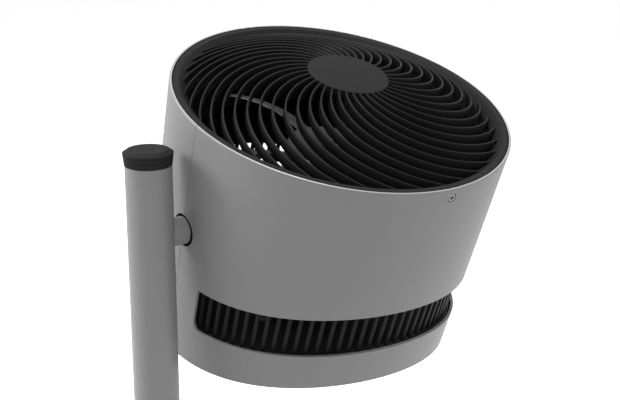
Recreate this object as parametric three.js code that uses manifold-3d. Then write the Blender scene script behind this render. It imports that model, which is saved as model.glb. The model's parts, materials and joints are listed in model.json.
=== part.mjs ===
// Tilting floor fan: a tapered drum head with an axial impeller, carried on its side by a round pole
// that stands at the edge of a weighted round base. Millimetres, +Z up, origin at the centre of the
// base's underside. The pole is on the -X side of the head, and the head leans towards -Y.

import * as THREE from 'three';
import { mergeVertices } from 'three/addons/utils/BufferGeometryUtils.js';
import Module from 'manifold-3d';

const wasm = await Module();
wasm.setup();

// ---------------------------------------------------------------- driving dimensions

const CLEAR = 0.3; // gap kept between pieces that touch
const RUN_CLEAR = 0.12; // added to a bore's radius so that a shaft turns in it, its flats included
const ROUND = { large: 36, medium: 24, small: 16, tiny: 8 }; // sides of round shapes, by their size
const DEG = Math.PI / 180;

// head drum, in the head's own frame: +Z along the fan axis towards the outlet, origin on the pivot
const RIM_RADIUS = 170;
const RIM_Z = 115;
const WALL = 3;
const TAPER = Math.tan(2.5 * DEG);
const HEAD_LEAN = 18 * DEG;
const SLOT_TOP = { side: -52, rise: 28 }; // height at the pivot side, and how far it rises at the front
const SLOT_BOTTOM = { side: -99, rise: 31 };
const DRUM_BOTTOM = { side: -141, rise: 34 };
const SLOT_END = 11.2 * DEG; // angle from the pivot plane to the slot's end
const SLOT_CORNER = 11;
const RIM_SCREW_Z = RIM_Z - 10.5;

// outlet grille
const FIN_COUNT = 38;
const FIN_SWEEP = 72 * DEG;
const FIN_PHASE = 2.1 * DEG; // where the first fin leaves the hub
const FIN_DEPTH = 10.5;
const FIN_THICKNESS = 1.8;
const DOME_HEIGHT = 37;
const DOME_EDGE_Z = RIM_Z - 5;
const DOME_RADIUS = 160;
const HUB_RADIUS = 40.5;

// intake grilles
const BAR_COUNT = 42;
const BAR_WIDTH = 4;
const INTAKE_RECESS = 6;

// pivot, pole and base
const ARM_RADIUS = 13.5;
const NECK_RADIUS = 8;
const ARM_BORE = 4.5;
const POLE_OFFSET = 200; // pole axis to fan axis
const POLE_X = -140;
const POLE_RADIUS = 22;
const POLE_WALL = 2;
const PIVOT_HEIGHT = 940;
const CAP_HEIGHT = 15;
const CAP_TOP = 85; // above the pivot
const BASE_RADIUS = 180;
const BASE_HEIGHT = 24;
const PAD_THICKNESS = 2;
const PLATE_THICKNESS = 4;
const FLANGE_THICKNESS = 6;
const CABLE_RADIUS = 2;

// impeller and motor
const BLADE_COUNT = 5;
const BLADE_TIP = 143;
const BLADE_PHASE = 2 * DEG; // how far round the first blade stands at rest
const IMPELLER_HUB = 45;
const DUCT_RADIUS = 147;
const MOTOR_RADIUS = 40;
const SHAFT_RADIUS = 4;
const MOTOR = { low: -46, high: 8 };
const MOTOR_SCREWS = { radius: 30, turns: [30, 150, 270] };
const BEARING = { radius: 9, length: 7 };

// inside the head, in the head's own frame
const DUCT = { low: 23, high: 78, flange: 163.5 };
const MOUNT = { low: 17.2, high: 22.7 };
const BRACKET = { outer: -147, inner: -143, screwX: -153, screwY: 16 };
const COVER = { lift: 3, thickness: 2.5 };
const BOARD_LOW = -84;
const STRAP = { reach: 44, width: 24, gauge: 2 };

// ---------------------------------------------------------------- materials

const FINISHES = {
  shell_grey: { color: 0x8b8b8b, roughness: 0.5, metalness: 0.1 },
  pole_grey: { color: 0x858585, roughness: 0.45, metalness: 0.3 },
  black_plastic: { color: 0x262626, roughness: 0.55, metalness: 0 },
  grille_black: { color: 0x1e1e1e, roughness: 0.5, metalness: 0 },
  impeller_grey: { color: 0x4a4a4a, roughness: 0.4, metalness: 0 },
  steel: { color: 0x9a9a9a, roughness: 0.35, metalness: 0.9 },
  dark_steel: { color: 0x3c3c3c, roughness: 0.5, metalness: 0.7 },
  cast_iron: { color: 0x444444, roughness: 0.8, metalness: 0.4 },
  rubber: { color: 0x161616, roughness: 0.9, metalness: 0 },
  copper: { color: 0xb0703a, roughness: 0.4, metalness: 0.9 },
  board_green: { color: 0x1d5a38, roughness: 0.6, metalness: 0 },
};

// ---------------------------------------------------------------- geometry helpers

function signedVolume(positions, indices) {
  const [a, b, c] = [new THREE.Vector3(), new THREE.Vector3(), new THREE.Vector3()];
  let volume = 0;
  for (let i = 0; i < indices.length; i += 3) {
    a.fromArray(positions, 3 * indices[i]);
    b.fromArray(positions, 3 * indices[i + 1]);
    c.fromArray(positions, 3 * indices[i + 2]);
    volume += a.dot(b.cross(c)) / 6;
  }
  return volume;
}

// One closed surface: shared vertices merged, collapsed triangles dropped, faces pointing out.
function closed(geometry) {
  const bare = geometry.clone();
  for (const name of Object.keys(bare.attributes)) {
    if (name !== 'position') bare.deleteAttribute(name);
  }
  const merged = mergeVertices(bare, 1e-4);
  const source = merged.index.array;
  const kept = [];
  for (let i = 0; i < source.length; i += 3) {
    const [a, b, c] = [source[i], source[i + 1], source[i + 2]];
    if (a !== b && b !== c && c !== a) kept.push(a, b, c);
  }
  if (signedVolume(merged.attributes.position.array, kept) < 0) kept.reverse();
  merged.setIndex(kept);
  return merged;
}

function toSolid(geometry) {
  const merged = closed(geometry);
  const vertProperties = new Float32Array(merged.attributes.position.array);
  const triVerts = new Uint32Array(merged.index.array);
  return new wasm.Manifold(new wasm.Mesh({ numProp: 3, vertProperties, triVerts }));
}

function toGeometry(solid) {
  const mesh = solid.getMesh();
  const geometry = new THREE.BufferGeometry();
  geometry.setAttribute('position', new THREE.BufferAttribute(new Float32Array(mesh.vertProperties), 3));
  geometry.setIndex(new THREE.BufferAttribute(new Uint32Array(mesh.triVerts), 1));
  return geometry;
}

function join(...geometries) {
  const solids = geometries.map(toSolid);
  return toGeometry(solids.reduce((whole, next) => whole.add(next)));
}

function cut(base, ...tools) {
  const solids = tools.map(toSolid);
  return toGeometry(solids.reduce((whole, next) => whole.subtract(next), toSolid(base)));
}

// Solid of revolution about Z from [radius, height] points; a ring's profile is closed back on itself.
function revolve(profile, segments = ROUND.small) {
  const onAxis = profile[0][0] === 0 && profile[profile.length - 1][0] === 0;
  const loop = onAxis ? profile : [...profile, profile[0]];
  const points = loop.map(([r, z]) => new THREE.Vector2(r, z));
  return closed(new THREE.LatheGeometry(points, segments).rotateX(Math.PI / 2));
}

function disc(radius, z0, z1, segments = ROUND.small) {
  return revolve([[0, z0], [radius, z0], [radius, z1], [0, z1]], segments);
}

function ring(inner, outer, z0, z1, segments = ROUND.small) {
  return revolve([[inner, z0], [outer, z0], [outer, z1], [inner, z1]], segments);
}

function box(x0, x1, y0, y1, z0, z1) {
  const shape = new THREE.BoxGeometry(x1 - x0, y1 - y0, z1 - z0);
  return shape.translate((x0 + x1) / 2, (y0 + y1) / 2, (z0 + z1) / 2);
}

// Turns a shape made along +Z so that it lies along +X.
function alongX(geometry) {
  return geometry.rotateY(Math.PI / 2);
}

// Turns a shape made along +Z so that it lies along +Y.
function alongY(geometry) {
  return geometry.rotateX(-Math.PI / 2);
}

// Skin over a row of equal closed loops of [x, y, z]; open rows get an end cap from the cap triangles.
function loft(loops, capTriangles = null) {
  const count = loops[0].length;
  const positions = loops.flat(2);
  const indices = [];
  const rows = capTriangles ? loops.length - 1 : loops.length;
  for (let i = 0; i < rows; i++) {
    const next = (i + 1) % loops.length;
    for (let j = 0; j < count; j++) {
      const k = (j + 1) % count;
      const [a, b, c, d] = [i * count + j, i * count + k, next * count + k, next * count + j];
      indices.push(a, b, c, a, c, d);
    }
  }
  if (capTriangles) {
    const last = (loops.length - 1) * count;
    for (const [a, b, c] of capTriangles) {
      indices.push(c, b, a, last + a, last + b, last + c);
    }
  }
  const geometry = new THREE.BufferGeometry();
  geometry.setAttribute('position', new THREE.Float32BufferAttribute(positions, 3));
  geometry.setIndex(indices);
  return closed(geometry);
}

// Sweeps a section of [radius, height] points about Z from one angle to another; the section may
// change with the angle, and a whole turn closes on itself.
function sweepRound(from, to, steps, section) {
  const whole = to - from > 2 * Math.PI - 1e-9;
  const loops = [];
  for (let i = 0; i < (whole ? steps : steps + 1); i++) {
    const angle = from + ((to - from) * i) / steps;
    loops.push(section(angle).map(([r, z]) => [r * Math.cos(angle), r * Math.sin(angle), z]));
  }
  if (whole) return loft(loops);
  const flat = section(from).map(([r, z]) => new THREE.Vector2(r, z));
  return loft(loops, THREE.ShapeUtils.triangulateShape(flat, []));
}

const QUAD_CAP = [[0, 1, 2], [0, 2, 3]];

// ---------------------------------------------------------------- drum outline

const drumRadius = (z) => RIM_RADIUS - TAPER * (RIM_Z - z);

// Edges that sag at the pivot side and rise to the front and the rear.
const edgeHeight = (edge, angle) => edge.side + edge.rise * Math.sin(angle) ** 2;

const FRONT = { from: -Math.PI, to: 0 };
const REAR = { from: 0, to: Math.PI };
const SEAM = (0.5 * CLEAR) / RIM_RADIUS;

function shellHalf(half) {
  const shell = sweepRound(half.from + SEAM, half.to - SEAM, 20, (angle) => {
    const foot = edgeHeight(DRUM_BOTTOM, angle);
    return [
      [drumRadius(foot), foot],
      [drumRadius(RIM_Z - 1.5), RIM_Z - 1.5],
      [RIM_RADIUS - 1.5, RIM_Z],
      [RIM_RADIUS - WALL, RIM_Z - 1.5],
      [drumRadius(foot) - WALL, foot],
    ];
  });
  const start = half.from + SLOT_END;
  const end = half.to - SLOT_END;
  const window = sweepRound(start, end, 24, (angle) => {
    const top = edgeHeight(SLOT_TOP, angle);
    const run = Math.max(0, Math.min(angle - start, end - angle) * drumRadius(top));
    const short = Math.max(0, SLOT_CORNER - run);
    const lift = SLOT_CORNER - Math.sqrt(SLOT_CORNER ** 2 - short ** 2);
    const bottom = edgeHeight(SLOT_BOTTOM, angle) + lift;
    return [[drumRadius(top) - 12, bottom], [drumRadius(top) + 6, bottom],
      [drumRadius(top) + 6, top], [drumRadius(top) - 12, top]];
  });
  const armHole = alongX(disc(ARM_RADIUS + 1.5, -190, -150, ROUND.medium));
  const side = half === FRONT ? -1 : 1;
  const screwHole = alongY(disc(2.4, -12, 12, ROUND.tiny)).translate(0, side * RIM_RADIUS, RIM_SCREW_Z);
  const floor = drumRadius(RIM_SCREW_Z) - 1.6;
  const screwSeat = alongY(disc(4.6, 0, 12));
  screwSeat.translate(0, side === -1 ? -floor - 12 : floor, RIM_SCREW_Z);
  return cut(shell, window, armHole, screwHole, screwSeat);
}

// ---------------------------------------------------------------- grilles

const domeHeight = (r) => DOME_EDGE_Z + DOME_HEIGHT * (1 - (r / DOME_RADIUS) ** 2);

// Each fin leaves the hub nearly straight and sweeps further round the further out it is.
function finAngle(r) {
  const t = (r - HUB_RADIUS) / (DOME_RADIUS - HUB_RADIUS);
  return FIN_SWEEP * (0.52 * t + 0.48 * t ** 2.2);
}

function spiralFin(turn) {
  const steps = 5;
  const inner = HUB_RADIUS - 0.9;
  const outer = DOME_RADIUS + 1;
  const loops = [];
  for (let i = 0; i <= steps; i++) {
    const r = inner + ((outer - inner) * i) / steps;
    const swept = Math.max(r, HUB_RADIUS);
    const angle = turn + finAngle(swept);
    const lead = turn + finAngle(swept + 0.5);
    const direction = new THREE.Vector2(
      (swept + 0.5) * Math.cos(lead) - swept * Math.cos(angle),
      (swept + 0.5) * Math.sin(lead) - swept * Math.sin(angle)).normalize();
    const [x, y] = [r * Math.cos(angle), r * Math.sin(angle)];
    const [nx, ny] = [(-direction.y * FIN_THICKNESS) / 2, (direction.x * FIN_THICKNESS) / 2];
    const top = domeHeight(r);
    const bottom = top - FIN_DEPTH;
    const [left, right] = [[x - nx, y - ny], [x + nx, y + ny]];
    loops.push([[...left, bottom], [...right, bottom], [...right, top], [...left, top]]);
  }
  return loft(loops, QUAD_CAP);
}

function outletGrille() {
  const rim = revolve([
    [165, RIM_Z - 0.8], [158.5, RIM_Z - 1], [150, RIM_Z - 22], [165, RIM_Z - 22],
  ], FIN_COUNT);
  const top = domeHeight(HUB_RADIUS);
  const hub = revolve([
    [0, top - 5], [HUB_RADIUS - 5, top - FIN_DEPTH - 1], [HUB_RADIUS, top - FIN_DEPTH - 1],
    [HUB_RADIUS, top - 0.4], [HUB_RADIUS - 1.2, top - 0.4], [HUB_RADIUS - 1.2, top - 2.4], [0, top - 2.4],
  ], FIN_COUNT);
  const fins = [];
  for (let i = 0; i < FIN_COUNT; i++) {
    fins.push(spiralFin(FIN_PHASE + (2 * Math.PI * i) / FIN_COUNT));
  }
  const grille = join(rim, hub, ...fins);
  const screwHole = alongY(disc(1.9, -180, 180, ROUND.tiny)).translate(0, 0, RIM_SCREW_Z);
  return cut(grille, screwHole);
}

function hubCap() {
  const seat = domeHeight(HUB_RADIUS) - 2.4 + CLEAR;
  const radius = HUB_RADIUS - 1.2 - CLEAR;
  return revolve([
    [0, seat], [radius, seat], [radius, seat + 2.2], [radius - 0.8, seat + 2.8], [0, seat + 3],
  ], FIN_COUNT);
}

function intakeGrille(half) {
  const start = half.from + SLOT_END - 0.02;
  const end = half.to - SLOT_END + 0.02;
  const face = (z) => drumRadius(z) - INTAKE_RECESS;
  const rail = (edge, offset) => sweepRound(start, end, 21, (angle) => {
    const z = edgeHeight(edge, angle) + offset;
    return [[face(z) - 4, z - 2], [face(z) + 2.4, z - 2], [face(z) + 2.4, z + 2], [face(z) - 4, z + 2]];
  });
  const bars = [];
  for (let i = 0; i < BAR_COUNT; i++) {
    const angle = start + ((end - start) * (i + 0.5)) / BAR_COUNT;
    const [low, high] = [edgeHeight(SLOT_BOTTOM, angle) - 4, edgeHeight(SLOT_TOP, angle) + 4];
    const across = (r, z) => {
      const [c, s, w] = [Math.cos(angle), Math.sin(angle), BAR_WIDTH / 2];
      return [[(r - 3) * c + w * s, (r - 3) * s - w * c, z], [r * c + w * s, r * s - w * c, z],
        [r * c - w * s, r * s + w * c, z], [(r - 3) * c - w * s, (r - 3) * s + w * c, z]];
    };
    bars.push(loft([across(face(low) - 0.5, low), across(face(high) - 0.5, high)], QUAD_CAP));
  }
  return join(rail(SLOT_TOP, 4), rail(SLOT_BOTTOM, -4), ...bars);
}

// ---------------------------------------------------------------- inside the head

// Plate that closes the drum's underside and follows its curved edge.
function bottomCover() {
  const radius = drumRadius(DRUM_BOTTOM.side) - WALL - 1.5;
  const height = (y) => {
    return DRUM_BOTTOM.side + COVER.lift + DRUM_BOTTOM.rise * (y / drumRadius(DRUM_BOTTOM.side)) ** 2;
  };
  return sweepRound(0, 2 * Math.PI, 36, (angle) => {
    const radii = [0.02 * radius, 0.6 * radius, radius];
    const under = radii.map((r) => [r, height(r * Math.sin(angle))]);
    const over = radii.map((r) => [r, height(r * Math.sin(angle)) + COVER.thickness]);
    return [...under, ...over.reverse()];
  });
}

function airDuct() {
  return revolve([
    [DUCT_RADIUS + 12, DUCT.low], [DUCT_RADIUS + 2.5, DUCT.low + 14],
    [DUCT_RADIUS + 2.5, DUCT.high - 2.5], [DUCT.flange, DUCT.high - 2.5],
    [DUCT.flange, DUCT.high], [DUCT_RADIUS, DUCT.high], [DUCT_RADIUS, DUCT.low + 12],
    [DUCT_RADIUS + 9, DUCT.low],
  ], ROUND.large);
}

function motorMount() {
  const hoop = ring(151, 159, MOUNT.low, MOUNT.high, ROUND.medium);
  const low = MOTOR.high + CLEAR;
  const plate = ring(12, MOTOR_RADIUS + 6, low, low + 4, ROUND.medium);
  const arms = [45, 135, 225, 315].map((turn) => {
    return box(MOTOR_RADIUS + 4, 153, -5, 5, low, MOUNT.low + 2).rotateZ(turn * DEG);
  });
  const holes = MOTOR_SCREWS.turns.map((turn) => disc(2.2, 0, 30, ROUND.tiny)
    .translate(MOTOR_SCREWS.radius, 0, 0).rotateZ(turn * DEG));
  const lug = box(-157, -147.9, -20, 20, MOUNT.low, MOUNT.high);
  return cut(join(hoop, plate, lug, ...arms), ...holes, ...bracketPilots());
}

// Holes of the two screws that hold the bracket's ear under the motor mount.
function bracketPilots() {
  const places = [-BRACKET.screwY, BRACKET.screwY];
  return places.map((y) => disc(1.6, 0, 30, ROUND.tiny).translate(BRACKET.screwX, y, 0));
}

// Upright plate on the arm's neck, with an ear under the motor mount's lug.
function tiltBracket() {
  const plate = box(BRACKET.outer, BRACKET.inner, -22, 22, -22, MOUNT.low - CLEAR);
  const ear = box(-158, BRACKET.inner, -22, 22, MOUNT.low - CLEAR - 4, MOUNT.low - CLEAR);
  const bore = alongX(disc(NECK_RADIUS + 0.1, -170, -120, ROUND.medium));
  const armRoom = alongX(disc(ARM_RADIUS + 1, -175, BRACKET.outer - 0.01));
  return cut(join(plate, ear), bore, armRoom, ...bracketPilots());
}

function impeller() {
  const hub = revolve([
    [SHAFT_RADIUS + CLEAR, 30], [12, 30], [12, 58], [IMPELLER_HUB - 3, 58], [IMPELLER_HUB - 3, 24],
    [IMPELLER_HUB, 24], [IMPELLER_HUB, 62], [SHAFT_RADIUS + CLEAR, 62],
  ], ROUND.medium);
  const blades = [];
  for (let i = 0; i < BLADE_COUNT; i++) {
    const loops = [];
    const steps = 5;
    for (let j = 0; j <= steps; j++) {
      const t = j / steps;
      const r = IMPELLER_HUB - 1 + (BLADE_TIP - IMPELLER_HUB + 1) * t;
      const chord = 62 + 30 * t;
      const pitch = (38 - 16 * t) * DEG;
      const centre = BLADE_PHASE + (2 * Math.PI * i) / BLADE_COUNT + 0.35 * t * t;
      const station = (along, above) => {
        const angle = centre + (along * chord * Math.cos(pitch)) / r;
        const camber = 5 * (1 - 4 * along * along);
        const z = 42 + along * chord * Math.sin(pitch) + camber + above;
        return [r * Math.cos(angle), r * Math.sin(angle), z];
      };
      loops.push([station(-0.5, -0.8), station(0, -1.4), station(0.5, -0.8),
        station(0.5, 0.8), station(0, 1.4), station(-0.5, 0.8)]);
    }
    blades.push(loft(loops, [[0, 1, 5], [1, 4, 5], [1, 2, 4], [2, 3, 4]]));
  }
  return join(hub, ...blades);
}

// ---------------------------------------------------------------- small hardware

// Screw along -Z with its head's top face at z = 0.
function panScrew(headRadius, headHeight, shankRadius, length) {
  return revolve([
    [0, -length], [shankRadius, -length], [shankRadius, -headHeight], [headRadius, -headHeight],
    [headRadius, -0.4], [headRadius - 0.6, 0], [0, 0],
  ], ROUND.tiny);
}

function crossSlotted(screw, headRadius) {
  const reach = headRadius * 0.55;
  const half = 0.5;
  return cut(screw, box(-reach, reach, -half, half, -1.2, 1), box(-half, half, -reach, reach, -1.2, 1));
}

function hexPrism(acrossFlats, z0, z1, bore) {
  const hex = disc(acrossFlats / Math.sqrt(3), z0, z1, 6);
  return cut(hex, disc(bore, z0 - 1, z1 + 1));
}

// ---------------------------------------------------------------- scene graph

function finish(name) {
  return new THREE.MeshStandardMaterial({ name, ...FINISHES[name] });
}

function add(group, name, geometry, finishName) {
  const mesh = new THREE.Mesh(geometry, finish(finishName));
  mesh.name = name;
  group.add(mesh);
  return mesh;
}

const fan = new THREE.Group();

// ---- base

const plateLow = PAD_THICKNESS + CLEAR;
const plateTop = plateLow + PLATE_THICKNESS;
const flangeLow = plateTop + CLEAR;
const flangeTop = flangeLow + FLANGE_THICKNESS;
const poleFoot = flangeTop + CLEAR;
const cableLevel = flangeLow + 3.2;
const INLET_Y = BASE_RADIUS - 16; // where the cable ends in the inlet's body

const boltPlaces = [0, 120, 240].map((turn) => {
  const [c, s] = [Math.cos((turn + 30) * DEG), Math.sin((turn + 30) * DEG)];
  return [POLE_X + 28 * c, 28 * s];
});

function buildBase(group) {
  add(group, 'base_pad', disc(BASE_RADIUS - 12, 0, PAD_THICKNESS, ROUND.large), 'rubber');

  const boltRooms = boltPlaces.flatMap(([x, y]) => [
    disc(3.4, 0, 20, ROUND.tiny).translate(x, y, 0),
    disc(6.8, 0, plateLow + 2.4, ROUND.tiny).translate(x, y, 0)]);
  const plate = disc(BASE_RADIUS - 5, plateLow, plateTop, ROUND.large);
  add(group, 'base_plate', cut(plate, ...boltRooms), 'dark_steel');

  const weight = ring(30, 112, plateTop + CLEAR, plateTop + CLEAR + 11, ROUND.medium).translate(25, 0, 0);
  add(group, 'base_weight', weight, 'cast_iron');

  const wall = 3;
  const cover = revolve([
    [0, BASE_HEIGHT - wall], [BASE_RADIUS - 12, BASE_HEIGHT - wall],
    [BASE_RADIUS - wall, BASE_HEIGHT - 11], [BASE_RADIUS - wall, plateLow], [BASE_RADIUS, plateLow],
    [BASE_RADIUS, BASE_HEIGHT - 10], [BASE_RADIUS - 2.5, BASE_HEIGHT - 4],
    [BASE_RADIUS - 10, BASE_HEIGHT], [0, BASE_HEIGHT],
  ], ROUND.large);
  const poleHole = disc(POLE_RADIUS + 0.6, 0, 60, ROUND.medium).translate(POLE_X, 0, 0);
  const inletHole = box(-8.3, 8.3, BASE_RADIUS - 20, BASE_RADIUS + 5, flangeLow, flangeLow + 11.6);
  add(group, 'base_cover', cut(cover, poleHole, inletHole), 'shell_grey');

  const inletBody = box(-8, 8, INLET_Y - 2, BASE_RADIUS - 0.6, flangeLow + CLEAR, flangeLow + 11.3);
  const socket = alongY(disc(4, INLET_Y + 3, BASE_RADIUS + 5)).translate(0, 0, flangeLow + 5.8);
  const lead = alongY(disc(CABLE_RADIUS + 0.6, INLET_Y - 5, INLET_Y + 1)).translate(0, 0, cableLevel);
  add(group, 'power_inlet', cut(inletBody, socket, lead), 'black_plastic');

  const spigot = join(
    disc(34, flangeLow, flangeTop, ROUND.medium),
    disc(POLE_RADIUS - POLE_WALL - CLEAR, flangeLow, 110, ROUND.medium));
  const core = disc(14, flangeLow - 1, 120);
  const channel = box(-4, 4, 0, 40, flangeLow - 1, flangeTop - 0.2);
  const threads = boltPlaces.map(([x, y]) => {
    return disc(3.3, 0, flangeTop - 1, ROUND.tiny).translate(x - POLE_X, y, 0);
  });
  const foot = cut(spigot, core, channel, ...threads).translate(POLE_X, 0, 0);
  add(group, 'pole_spigot', foot, 'steel');

  boltPlaces.forEach(([x, y], i) => {
    const bolt = panScrew(6.2, 2, 3, 9).rotateX(Math.PI).translate(x, y, plateLow + CLEAR);
    add(group, `pole_bolt_${i + 1}`, bolt, 'steel');
  });
}

// ---- pole, arm and supply cable

const poleTop = PIVOT_HEIGHT + CAP_TOP - CAP_HEIGHT - CLEAR;
const ARM_INNER_END = -190; // measured from the fan axis, as are the other pivot places

function supplyCable() {
  const x = POLE_X - 2;
  const path = new THREE.CurvePath();
  const at = (px, py, pz) => new THREE.Vector3(px, py, pz);
  const bend = 14;
  path.add(new THREE.CubicBezierCurve3(
    at(0, INLET_Y, cableLevel), at(0, INLET_Y - 45, cableLevel),
    at(x, 150, cableLevel), at(x, 60, cableLevel)));
  path.add(new THREE.LineCurve3(at(x, 60, cableLevel), at(x, bend, cableLevel)));
  path.add(new THREE.QuadraticBezierCurve3(
    at(x, bend, cableLevel), at(x, 0, cableLevel), at(x, 0, cableLevel + bend)));
  path.add(new THREE.LineCurve3(at(x, 0, cableLevel + bend), at(x, 0, PIVOT_HEIGHT - 12)));
  path.add(new THREE.QuadraticBezierCurve3(
    at(x, 0, PIVOT_HEIGHT - 12), at(x, 0, PIVOT_HEIGHT), at(x + 12, 0, PIVOT_HEIGHT)));
  path.add(new THREE.LineCurve3(
    at(x + 12, 0, PIVOT_HEIGHT), at(POLE_X + POLE_OFFSET - 122, 0, PIVOT_HEIGHT)));
  return path;
}

// Round tube along a path, with rings close together in the bends and only at the ends of straights.
function tubeAlong(path, radius, sides, stepsPerCurve) {
  const stations = path.curves.flatMap((curve, i) => {
    const steps = stepsPerCurve[i];
    const first = i === 0 ? 0 : 1;
    return Array.from({ length: steps + 1 - first }, (_, j) => {
      const t = (j + first) / steps;
      return { point: curve.getPoint(t), tangent: curve.getTangent(t).normalize() };
    });
  });
  let side = new THREE.Vector3(0, 0, 1);
  const loops = stations.map(({ point, tangent }) => {
    side = side.clone().addScaledVector(tangent, -side.dot(tangent)).normalize();
    const other = tangent.clone().cross(side);
    return Array.from({ length: sides }, (_, k) => {
      const angle = (2 * Math.PI * k) / sides;
      return point.clone()
        .addScaledVector(side, radius * Math.cos(angle))
        .addScaledVector(other, radius * Math.sin(angle)).toArray();
    });
  });
  const cap = Array.from({ length: sides - 2 }, (_, k) => [0, k + 1, k + 2]);
  return loft(loops, cap);
}

function buildPole(group) {
  const inner = POLE_RADIUS - POLE_WALL;
  const tube = ring(inner, POLE_RADIUS, poleFoot, poleTop, ROUND.medium);
  const armHole = alongX(disc(ARM_RADIUS + CLEAR, 0, 40, ROUND.medium)).translate(0, 0, PIVOT_HEIGHT);
  add(group, 'pole_tube', cut(tube, armHole).translate(POLE_X, 0, 0), 'pole_grey');

  const block = disc(inner - CLEAR, PIVOT_HEIGHT - 32, PIVOT_HEIGHT + 32, ROUND.medium);
  const armSeat = alongX(disc(ARM_RADIUS + CLEAR, POLE_OFFSET + ARM_INNER_END - CLEAR, 40, ROUND.medium))
    .translate(0, 0, PIVOT_HEIGHT);
  const shaftWay = disc(6, PIVOT_HEIGHT - 40, PIVOT_HEIGHT + 6, ROUND.tiny).translate(-2, 0, 0);
  const crossWay = alongX(disc(6, -2, 20, ROUND.tiny)).translate(0, 0, PIVOT_HEIGHT);
  add(group, 'arm_block', cut(block, armSeat, shaftWay, crossWay).translate(POLE_X, 0, 0), 'steel');

  const plug = revolve([
    [0, poleTop - 30], [inner - CLEAR, poleTop - 30], [inner - CLEAR, poleTop - 1],
    [11, poleTop - 1], [11, poleTop - 6], [0, poleTop - 6]]).translate(POLE_X, 0, 0);
  add(group, 'dock_plug', plug, 'black_plastic');
  add(group, 'dock_magnet', disc(10.5, poleTop - 5.7, poleTop - 1.2).translate(POLE_X, 0, 0), 'steel');

  const stepsPerCurve = [10, 1, 4, 1, 4, 1];
  add(group, 'supply_cable', tubeAlong(supplyCable(), CABLE_RADIUS, ROUND.tiny, stepsPerCurve), 'rubber');
}

// Arm and friction stack, along X from the pole into the head; they stay still while the head turns.
function buildArm(group) {
  const armEnd = -150;
  const neckEnd = -124;
  const arm = revolve([
    [ARM_BORE, ARM_INNER_END], [ARM_RADIUS, ARM_INNER_END], [ARM_RADIUS, armEnd],
    [NECK_RADIUS, armEnd], [NECK_RADIUS, neckEnd], [ARM_BORE, neckEnd]], ROUND.medium);
  add(group, 'pivot_arm', alongX(arm), 'pole_grey');
  const bore = NECK_RADIUS + CLEAR;
  const washer = (from, to, radius) => alongX(ring(bore, radius, from, to));
  const outerWasher = washer(armEnd + CLEAR, BRACKET.outer - CLEAR, ARM_RADIUS);
  add(group, 'friction_washer_outer', outerWasher, 'black_plastic');
  add(group, 'friction_washer_inner', washer(BRACKET.inner + CLEAR, -140.7, 16), 'black_plastic');
  const cone = revolve([[bore, -140.4], [15, -139.2], [15, -138], [bore, -139.2]]);
  add(group, 'spring_washer', alongX(cone), 'steel');
  add(group, 'pivot_nut', alongX(hexPrism(24, -137.6, -129, bore)), 'steel');
}

// ---- head

function buildHead(group) {
  add(group, 'front_shell', shellHalf(FRONT), 'shell_grey');
  add(group, 'rear_shell', shellHalf(REAR), 'shell_grey');
  add(group, 'outlet_grille', outletGrille(), 'grille_black');
  add(group, 'hub_cap', hubCap(), 'black_plastic');
  add(group, 'front_intake_grille', intakeGrille(FRONT), 'grille_black');
  add(group, 'rear_intake_grille', intakeGrille(REAR), 'grille_black');
  add(group, 'bottom_cover', bottomCover(), 'black_plastic');
  add(group, 'air_duct', airDuct(), 'black_plastic');
  add(group, 'motor_mount', motorMount(), 'black_plastic');
  add(group, 'tilt_bracket', tiltBracket(), 'steel');
  const seal = ring(ARM_RADIUS + 0.6, ARM_RADIUS + 3.3, -160, -158.4, ROUND.medium);
  add(group, 'pivot_seal', alongX(seal), 'rubber');

  for (const [name, side] of [['rim_screw_front', -1], ['rim_screw_rear', 1]]) {
    const screw = crossSlotted(panScrew(4.2, 1.3, 1.6, 9), 4.2);
    const seat = drumRadius(RIM_SCREW_Z) - CLEAR + 0.05;
    screw.rotateX((side * -Math.PI) / 2).translate(0, side * seat, RIM_SCREW_Z);
    add(group, name, screw, 'pole_grey');
  }
  for (const [i, y] of [-BRACKET.screwY, BRACKET.screwY].entries()) {
    const screw = panScrew(3, 1.8, 1.3, 10).rotateX(Math.PI);
    screw.translate(BRACKET.screwX, y, MOUNT.low - CLEAR - 4 - CLEAR - 1.8);
    add(group, `bracket_screw_${i + 1}`, screw, 'steel');
  }
  add(group, 'control_board', controlBoard(), 'board_green');
  add(group, 'board_bracket', boardBracket(), 'steel');
}

// Board with a transformer, a capacitor and a driver on top of it.
function controlBoard() {
  const seat = BOARD_LOW + 1.2;
  const parts = [
    box(-30, -14, -20, -4, seat, BOARD_LOW + 16),
    box(6, 30, -8, 10, seat, BOARD_LOW + 10),
    box(-20, 0, 8, 24, seat, BOARD_LOW + 8),
  ];
  return join(box(-40, 40, -30, 30, BOARD_LOW, BOARD_LOW + 1.6), ...parts);
}

// Bent strap that carries the control board on the bottom cover.
function boardBracket() {
  const foot = DRUM_BOTTOM.side + COVER.lift + COVER.thickness + CLEAR + 0.2;
  const shelf = BOARD_LOW - CLEAR;
  const half = STRAP.width / 2;
  const gauge = STRAP.gauge;
  const [inner, outer] = [STRAP.reach - gauge, STRAP.reach + 9];
  return join(
    box(-STRAP.reach, STRAP.reach, -half, half, shelf - gauge, shelf),
    box(-STRAP.reach, -inner, -half, half, foot, shelf),
    box(inner, STRAP.reach, -half, half, foot, shelf),
    box(-outer, -inner, -half, half, foot, foot + gauge),
    box(inner, outer, -half, half, foot, foot + gauge));
}

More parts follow.
